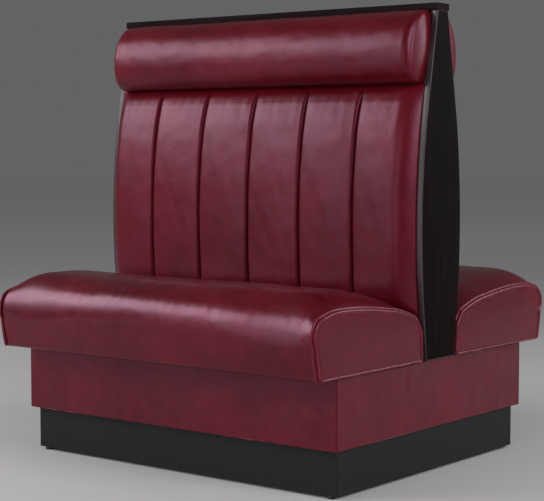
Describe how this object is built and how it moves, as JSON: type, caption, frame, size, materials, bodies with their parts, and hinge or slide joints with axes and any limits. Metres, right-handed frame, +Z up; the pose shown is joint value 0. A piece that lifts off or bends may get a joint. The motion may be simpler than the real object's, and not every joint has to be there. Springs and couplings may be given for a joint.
{
  "type": "restaurant booth seating",
  "caption": "Back-to-back restaurant booth: channelled vinyl back with head rolls, crowned pull-out seats, wrapped box, dark end panels, top cap and recessed plinth.",
  "frame": {"origin": "on the floor under the middle of the booth", "axes": "+Z up; X runs along the seats; the front seat faces -Y and the rear seat faces +Y"},
  "size_m": [1.088, 1.0972, 1.219],
  "materials": {
    "burgundy_vinyl": "satin",
    "black_wood": "satin",
    "black_laminate": "satin",
    "plywood": "matte",
    "zinc_steel": "satin",
    "brass": "satin",
    "black_plastic": "matte",
    "felt": "matte",
    "black_cloth": "matte"
  },
  "bodies": {
    "base": {"back_bottom_rail": "plywood", "back_centre_rib": "plywood", "back_front_board": "plywood", "back_left_rib": "plywood", "back_rear_board": "plywood", "back_right_rib": "plywood", "back_top_rail": "plywood", "box_floor": "plywood", "box_front_board": "plywood", "box_front_cover": "burgundy_vinyl", "box_left_board": "plywood", "box_left_cover": "burgundy_vinyl", "box_left_rib": "plywood", "box_rear_board": "plywood", "box_rear_cover": "burgundy_vinyl", "box_right_board": "plywood", "box_right_cover": "burgundy_vinyl", "box_right_rib": "plywood", "cap_screws": "zinc_steel", "end_panel_screws": "zinc_steel", "front_channel_pad": "burgundy_vinyl", "front_head_roll": "burgundy_vinyl", "front_roll_batten": "plywood", "glide_inserts": "brass", "grip_strips": "black_cloth", "left_end_panel": "black_wood", "plinth_centre_rail": "plywood", "plinth_corner_blocks": "plywood", "plinth_front_board": "black_laminate", "plinth_left_board": "black_laminate", "plinth_rear_board": "black_laminate", "plinth_right_board": "black_laminate", "rear_channel_pad": "burgundy_vinyl", "rear_head_roll": "burgundy_vinyl", "rear_roll_batten": "plywood", "right_end_panel": "black_wood", "top_cap": "black_wood"},
    "front_seat": {"front_seat_cushion": "burgundy_vinyl", "front_seat_frame": "plywood", "front_seat_springs": "zinc_steel", "front_spring_clips": "zinc_steel", "front_insulator": "felt", "front_dust_cover": "black_cloth"},
    "rear_seat": {"rear_seat_cushion": "burgundy_vinyl", "rear_seat_frame": "plywood", "rear_seat_springs": "zinc_steel", "rear_spring_clips": "zinc_steel", "rear_insulator": "felt", "rear_dust_cover": "black_cloth"},
    "glide_front_left": {"glide_stem_front_left": "zinc_steel", "glide_pad_front_left": "black_plastic"},
    "glide_front_right": {"glide_stem_front_right": "zinc_steel", "glide_pad_front_right": "black_plastic"},
    "glide_rear_left": {"glide_stem_rear_left": "zinc_steel", "glide_pad_rear_left": "black_plastic"},
    "glide_rear_right": {"glide_stem_rear_right": "zinc_steel", "glide_pad_rear_right": "black_plastic"}
  },
  "joints": [
    {"name": "front_seat_slide", "type": "slide", "parent": "base", "child": "front_seat", "axis": [0, -1, 0], "range_m": [0, 0.12]},
    {"name": "rear_seat_slide", "type": "slide", "parent": "base", "child": "rear_seat", "axis": [0, 1, 0], "range_m": [0, 0.12]},
    {"name": "glide_front_left_screw", "type": "slide", "parent": "base", "child": "glide_front_left", "axis": [0, 0, -1], "range_m": [0, 0.01]},
    {"name": "glide_front_right_screw", "type": "slide", "parent": "base", "child": "glide_front_right", "axis": [0, 0, -1], "range_m": [0, 0.01]},
    {"name": "glide_rear_left_screw", "type": "slide", "parent": "base", "child": "glide_rear_left", "axis": [0, 0, -1], "range_m": [0, 0.01]},
    {"name": "glide_rear_right_screw", "type": "slide", "parent": "base", "child": "glide_rear_right", "axis": [0, 0, -1], "range_m": [0, 0.01]}
  ]
}
